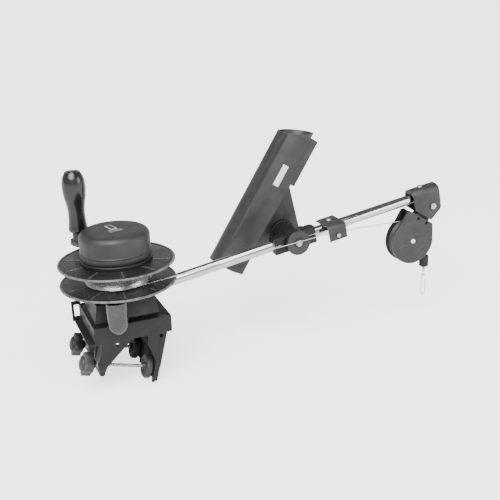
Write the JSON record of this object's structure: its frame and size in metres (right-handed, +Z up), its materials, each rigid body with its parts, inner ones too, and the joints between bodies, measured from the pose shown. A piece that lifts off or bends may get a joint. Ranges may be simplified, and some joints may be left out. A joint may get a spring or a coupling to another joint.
{
  "type": "trolling downrigger",
  "caption": "Clamp-mounted manual trolling downrigger: cranked horizontal cable spool, outboard boom with tilting rod holder, cable guide and hanging end pulley.",
  "frame": {"origin": "where the spool's upright axis meets the gunwale seat under the clamp bracket", "axes": "+Z up along the spool axis, +X outboard along the boom, +Y towards the rod holder's side"},
  "size_m": [0.7405, 0.2073, 0.3804],
  "materials": {
    "moulded_black": "satin moulded, light grain",
    "gloss_black": "gloss",
    "grey_plastic": "satin",
    "smoked_plastic": "dark smoked, gloss",
    "rubber": "matte",
    "bright_steel": "satin",
    "chrome_tube": "polished",
    "white_plate": "satin",
    "brass": "satin"
  },
  "bodies": {
    "frame": {"clamp_bracket": "moulded_black", "jaw_lining_front": "rubber", "jaw_lining_middle": "rubber", "jaw_lining_rear": "rubber", "clamp_nut_front": "bright_steel", "clamp_nut_rear": "bright_steel", "reel_base": "moulded_black", "spindle_shaft": "bright_steel", "thrust_washer": "bright_steel", "pawl_pin": "bright_steel", "front_pocket": "smoked_plastic", "boom_tube": "chrome_tube", "boom_end_plug": "moulded_black", "cable_guide": "moulded_black", "guide_screw": "bright_steel", "guide_pin": "bright_steel", "boom_end_saddle": "moulded_black", "saddle_screw": "bright_steel", "saddle_pin": "bright_steel", "pin_clip": "bright_steel", "mount_hub": "moulded_black", "mount_jaw_upper": "moulded_black", "mount_jaw_lower": "moulded_black", "mount_front_disc": "grey_plastic", "mount_front_bolt": "bright_steel", "mount_set_screw": "bright_steel", "cable_run": "bright_steel"},
    "spool": {"spool_lower_flange": "gloss_black", "spool_upper_flange": "gloss_black", "spool_drum": "moulded_black", "cable_winding": "bright_steel", "brake_disc": "moulded_black", "ratchet_gear": "bright_steel"},
    "crank": {"crank_arm": "gloss_black", "grip_spindle": "gloss_black", "brake_cap": "moulded_black", "cap_plate": "grey_plastic"},
    "grip": {"crank_grip": "gloss_black"},
    "pawl": {"pawl": "bright_steel"},
    "pad_front": {"clamp_pad_front": "grey_plastic"},
    "screw_front": {"clamp_screw_front": "bright_steel", "clamp_knob_front": "grey_plastic"},
    "pad_rear": {"clamp_pad_rear": "rubber"},
    "screw_rear": {"clamp_screw_rear": "bright_steel", "clamp_knob_rear": "moulded_black"},
    "roller": {"guide_roller": "moulded_black"},
    "block": {"pulley_cheek_front": "moulded_black", "pulley_cheek_back": "moulded_black", "pulley_hanger": "moulded_black", "pulley_axle": "white_plate", "stopper_bead": "rubber"},
    "wheel": {"pulley_wheel": "grey_plastic"},
    "swivel": {"swivel_barrel": "brass", "swivel_ring": "bright_steel"},
    "snap": {"wire_snap": "bright_steel"},
    "rod_holder": {"rod_holder_tube": "moulded_black", "rod_holder_plate": "white_plate", "rod_holder_gear": "moulded_black"},
    "rod_knob": {"rod_holder_knob": "moulded_black"}
  },
  "joints": [
    {"name": "spool_turn", "type": "hinge", "parent": "frame", "child": "spool", "pos_m": [0, 0, 0.09], "axis": [0, 0, 1], "continuous": true},
    {"name": "brake_turn", "type": "hinge", "parent": "spool", "child": "crank", "pos_m": [0, 0, 0.125], "axis": [0, 0, 1], "range_deg": [0, 90]},
    {"name": "grip_spin", "type": "hinge", "parent": "crank", "child": "grip", "pos_m": [-0.04373, 0.0877, 0.2], "axis": [0, 0, 1], "continuous": true},
    {"name": "pawl_hinge", "type": "hinge", "parent": "frame", "child": "pawl", "pos_m": [-0.041, 0, 0.065], "axis": [0, 0, 1], "range_deg": [0, 18], "stiffness_Nm_per_rad": 0.02},
    {"name": "clamp_front_slide", "type": "slide", "parent": "frame", "child": "pad_front", "axis": [0.9659, 0, -0.2588], "range_m": [-0.0451, 0]},
    {"name": "clamp_front_turn", "type": "hinge", "parent": "pad_front", "child": "screw_front", "pos_m": [-0.01708, -0.042, -0.06375], "axis": [0.9659, 0, -0.2588], "range_deg": [-16200, 0]},
    {"name": "clamp_rear_slide", "type": "slide", "parent": "frame", "child": "pad_rear", "axis": [0.9659, 0, -0.2588], "range_m": [-0.0451, 0]},
    {"name": "clamp_rear_turn", "type": "hinge", "parent": "pad_rear", "child": "screw_rear", "pos_m": [-0.01708, 0.042, -0.06375], "axis": [0.9659, 0, -0.2588], "range_deg": [-16200, 0]},
    {"name": "roller_spin", "type": "hinge", "parent": "frame", "child": "roller", "pos_m": [0.40803, -0.0244, 0.09928], "axis": [0, 1, 0], "continuous": true},
    {"name": "block_swing", "type": "hinge", "parent": "frame", "child": "block", "pos_m": [0.62245, 0, 0.12013], "axis": [0, 1, 0], "range_deg": [-32, 4], "deforming": ["cable_run"]},
    {"name": "wheel_spin", "type": "hinge", "parent": "block", "child": "wheel", "pos_m": [0.58112, 0, 0.05398], "axis": [0, 1, 0], "continuous": true},
    {"name": "swivel_swing", "type": "hinge", "parent": "block", "child": "swivel", "pos_m": [0.617, 0, -0.0105], "axis": [0, 1, 0], "range_deg": [-25, 25]},
    {"name": "snap_swing", "type": "hinge", "parent": "swivel", "child": "snap", "pos_m": [0.617, 0, -0.027], "axis": [1, 0, 0], "range_deg": [-15, 15]},
    {"name": "rod_holder_tilt", "type": "hinge", "parent": "frame", "child": "rod_holder", "pos_m": [0.3297, 0.045, 0.095], "axis": [0, 1, 0], "range_deg": [-60, 45]},
    {"name": "rod_knob_turn", "type": "hinge", "parent": "frame", "child": "rod_knob", "pos_m": [0.3297, 0.07, 0.095], "axis": [0, 1, 0], "range_deg": [0, 350]}
  ],
  "couplings": [
    {"joint": "clamp_front_slide", "follows": "clamp_front_turn", "m_per_rad": 0.00015915},
    {"joint": "clamp_rear_slide", "follows": "clamp_rear_turn", "m_per_rad": 0.00015915}
  ]
}
